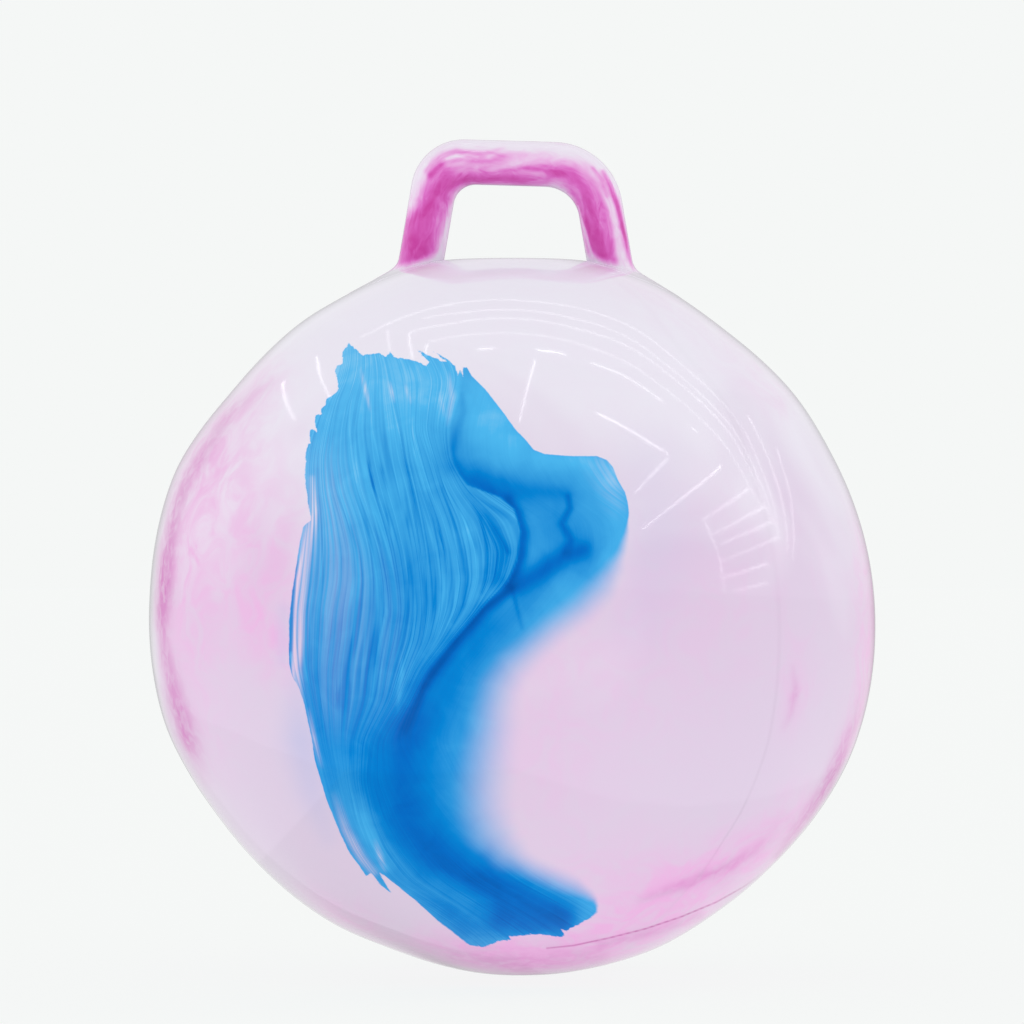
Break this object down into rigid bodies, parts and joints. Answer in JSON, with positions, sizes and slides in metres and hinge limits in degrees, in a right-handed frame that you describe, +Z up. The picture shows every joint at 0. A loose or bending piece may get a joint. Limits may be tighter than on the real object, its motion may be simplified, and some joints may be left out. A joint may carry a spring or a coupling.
{
  "type": "hopper ball",
  "caption": "Inflated vinyl hopper ball with a closed bow handle moulded on its crown and a push-in air valve between the feet of the bow; marbled skin.",
  "frame": {"origin": "centre of the flattened patch that the ball stands on", "axes": "+Z up through the crown and the bow, +X to the right along the bow, -Y towards the viewer of the blue swirl"},
  "size_m": [0.4499, 0.45, 0.5183],
  "materials": {
    "pearl_vinyl": "glossy rotomoulded soft vinyl, milky white marbled with pink",
    "blue_vinyl": "glossy rotomoulded soft vinyl, brushed-looking blue",
    "pink_vinyl": "glossy rotomoulded soft vinyl, translucent pink with a clear outer skin",
    "seat_vinyl": "soft injection-moulded vinyl, satin",
    "plug_plastic": "white injection-moulded polythene, satin"
  },
  "bodies": {
    "ball": {"ball_shell": "pearl_vinyl", "blue_swirl": "blue_vinyl", "handle_bow": "pink_vinyl", "valve_seat": "seat_vinyl"},
    "plug": {"valve_plug": "plug_plastic"}
  },
  "joints": [
    {"name": "plug_pull", "type": "slide", "parent": "ball", "child": "plug", "axis": [0, 0, 1], "range_m": [0, 0.02]}
  ]
}
